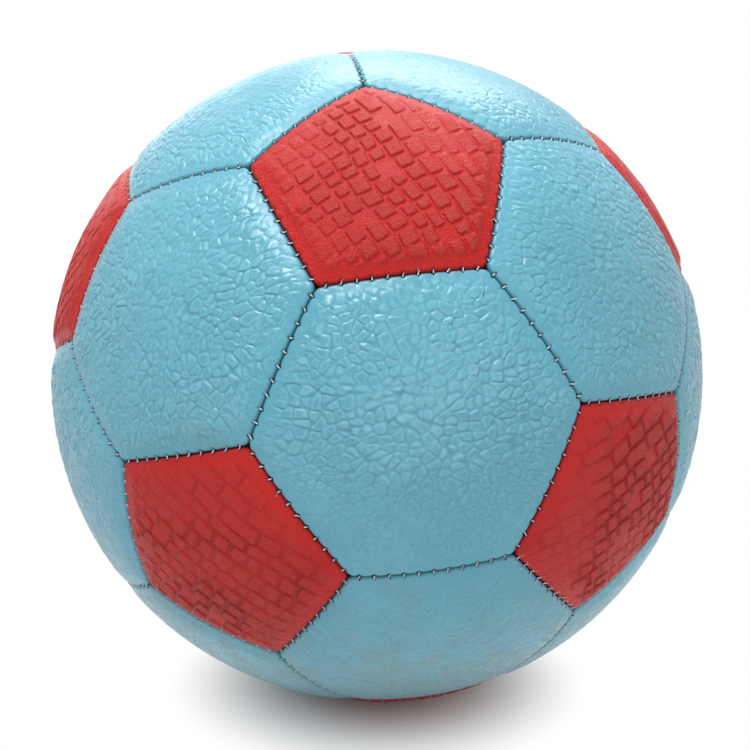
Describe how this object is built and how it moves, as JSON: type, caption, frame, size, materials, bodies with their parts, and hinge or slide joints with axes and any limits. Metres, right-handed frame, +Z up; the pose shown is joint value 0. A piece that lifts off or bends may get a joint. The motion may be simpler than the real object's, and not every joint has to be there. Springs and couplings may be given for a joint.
{
  "type": "handball",
  "caption": "Stitched leather handball of hexagon and pentagon panels, foam-backed and lined, over an inflated bladder with a needle valve.",
  "frame": {"origin": "centre of the ball", "axes": "-Y through the front hexagon as pictured, +Y out along the valve on the far side, +Z up as it lies in the picture"},
  "size_m": [0.175, 0.1749, 0.175],
  "materials": {
    "turquoise_leather": "pebbled polyurethane leather, semi-gloss",
    "red_leather": "embossed polyurethane leather, satin",
    "foam": "closed-cell foam, matte",
    "lining_cloth": "woven cotton and polyester, matte",
    "thread": "waxed polyester, matte",
    "patch_cloth": "rubberised cloth, matte",
    "bladder_latex": "latex, matte",
    "valve_rubber": "moulded butyl, matte",
    "plug_rubber": "moulded butyl, satin"
  },
  "bodies": {
    "ball": {"hexagon_panel_01": "turquoise_leather", "hexagon_panel_02": "turquoise_leather", "hexagon_panel_03": "turquoise_leather", "hexagon_panel_04": "turquoise_leather", "hexagon_panel_05": "turquoise_leather", "hexagon_panel_06": "turquoise_leather", "hexagon_panel_07": "turquoise_leather", "hexagon_panel_08": "turquoise_leather", "hexagon_panel_09": "turquoise_leather", "hexagon_panel_10": "turquoise_leather", "hexagon_panel_11": "turquoise_leather", "hexagon_panel_12": "turquoise_leather", "hexagon_panel_13": "turquoise_leather", "hexagon_panel_14": "turquoise_leather", "hexagon_panel_15": "turquoise_leather", "hexagon_panel_16": "turquoise_leather", "hexagon_panel_17": "turquoise_leather", "hexagon_panel_18": "turquoise_leather", "hexagon_panel_19": "turquoise_leather", "pentagon_panel_01": "red_leather", "pentagon_panel_02": "red_leather", "pentagon_panel_03": "red_leather", "pentagon_panel_04": "red_leather", "pentagon_panel_05": "red_leather", "pentagon_panel_06": "red_leather", "pentagon_panel_07": "red_leather", "pentagon_panel_08": "red_leather", "pentagon_panel_09": "red_leather", "pentagon_panel_10": "red_leather", "pentagon_panel_11": "red_leather", "pentagon_panel_12": "red_leather", "valve_panel": "turquoise_leather", "hexagon_foam_pads": "foam", "pentagon_foam_pads": "foam", "valve_foam_pad": "foam", "hexagon_linings": "lining_cloth", "pentagon_linings": "lining_cloth", "valve_lining": "lining_cloth", "hexagon_seam_threads": "thread", "pentagon_seam_threads": "thread", "valve_patch": "patch_cloth", "bladder": "bladder_latex", "valve_boot": "valve_rubber"},
    "plug": {"valve_plug": "plug_rubber"}
  },
  "joints": [
    {"name": "plug_slide", "type": "slide", "parent": "ball", "child": "plug", "axis": [0, 1, 0], "range_m": [0, 0.015]}
  ]
}
